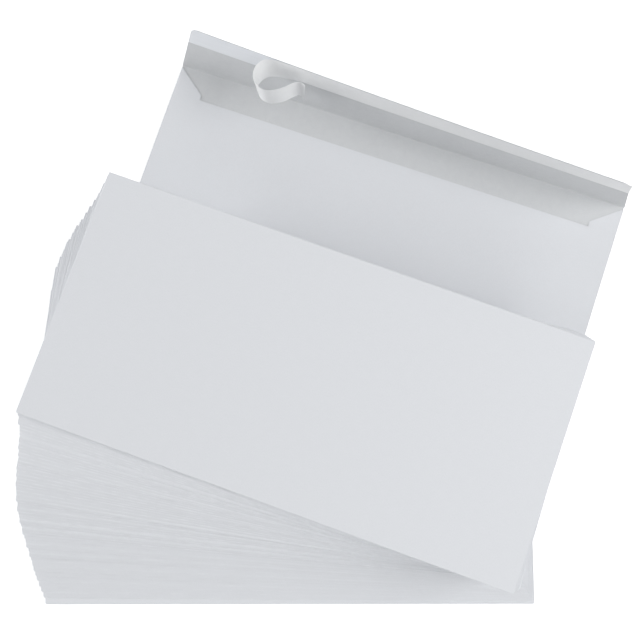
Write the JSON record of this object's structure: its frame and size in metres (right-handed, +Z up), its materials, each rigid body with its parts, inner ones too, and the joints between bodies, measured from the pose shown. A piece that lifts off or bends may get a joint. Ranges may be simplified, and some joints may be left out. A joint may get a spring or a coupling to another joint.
{
  "type": "peel and seal envelope set",
  "caption": "Fanned stack of long white peel and seal envelopes beside an opened one with tinted inside, raised seal flap and part-peeled release liner.",
  "frame": {"origin": "under the middle of the whole set's box, on the surface that the stack lies on", "axes": "+X along the length of the lowest envelope, +Y from its front edge to its folded back edge, +Z up out of the surface"},
  "size_m": [0.2762, 0.2522, 0.0378],
  "materials": {
    "white_paper": "matte",
    "tinted_paper": "matte",
    "adhesive": "satin",
    "release_paper": "satin"
  },
  "bodies": {
    "stack": {"stack_envelope_01": "white_paper", "stack_envelope_02": "white_paper", "stack_envelope_03": "white_paper", "stack_envelope_04": "white_paper", "stack_envelope_05": "white_paper", "stack_envelope_06": "white_paper", "stack_envelope_07": "white_paper", "stack_envelope_08": "white_paper", "stack_envelope_09": "white_paper", "stack_envelope_10": "white_paper", "stack_envelope_11": "white_paper", "stack_envelope_12": "white_paper", "stack_envelope_13": "white_paper", "stack_envelope_14": "white_paper", "stack_envelope_15": "white_paper", "stack_envelope_16": "white_paper", "stack_envelope_17": "white_paper", "stack_envelope_18": "white_paper", "stack_envelope_19": "white_paper", "stack_envelope_20": "white_paper", "stack_envelope_21": "white_paper", "stack_envelope_22": "white_paper", "stack_envelope_23": "white_paper", "stack_envelope_24": "white_paper", "stack_envelope_25": "white_paper", "stack_envelope_26": "white_paper", "stack_envelope_27": "white_paper", "stack_envelope_28": "white_paper", "stack_envelope_29": "white_paper", "stack_envelope_30": "white_paper", "stack_envelope_31": "white_paper", "stack_envelope_32": "white_paper", "stack_envelope_33": "white_paper", "stack_envelope_34": "white_paper", "stack_envelope_35": "white_paper", "stack_envelope_36": "white_paper", "stack_envelope_37": "white_paper", "stack_envelope_38": "white_paper", "stack_envelope_39": "white_paper", "stack_envelope_40": "white_paper", "stack_envelope_41": "white_paper", "stack_envelope_42": "white_paper", "stack_envelope_43": "white_paper", "stack_envelope_44": "white_paper", "stack_envelope_45": "white_paper", "stack_envelope_46": "white_paper", "stack_envelope_47": "white_paper", "stack_envelope_48": "white_paper"},
    "top_envelope": {"top_envelope": "white_paper"},
    "open_envelope": {"front_panel": "tinted_paper", "left_side_flap": "white_paper", "right_side_flap": "white_paper", "bottom_fold": "white_paper", "back_panel": "white_paper"},
    "flap": {"seal_flap": "tinted_paper", "adhesive_strip": "adhesive"},
    "liner": {"release_liner": "release_paper", "liner_tail": "release_paper"}
  },
  "joints": [
    {"name": "top_envelope_lift", "type": "slide", "parent": "stack", "child": "top_envelope", "axis": [0, 0, 1], "range_m": [0, 0.06]},
    {"name": "open_envelope_pull", "type": "slide", "parent": "stack", "child": "open_envelope", "axis": [0.3234, 0.9463, 0], "range_m": [0, 0.12]},
    {"name": "flap_fold", "type": "hinge", "parent": "open_envelope", "child": "flap", "pos_m": [0.0338, 0.08998, 0.0013], "axis": [0.9463, -0.3234, 0], "range_deg": [-87, 92], "deforming": ["liner_tail"]},
    {"name": "liner_peel", "type": "slide", "parent": "flap", "child": "liner", "axis": [-0.9463, 0.3234, 0], "range_m": [0, 0.22]}
  ]
}
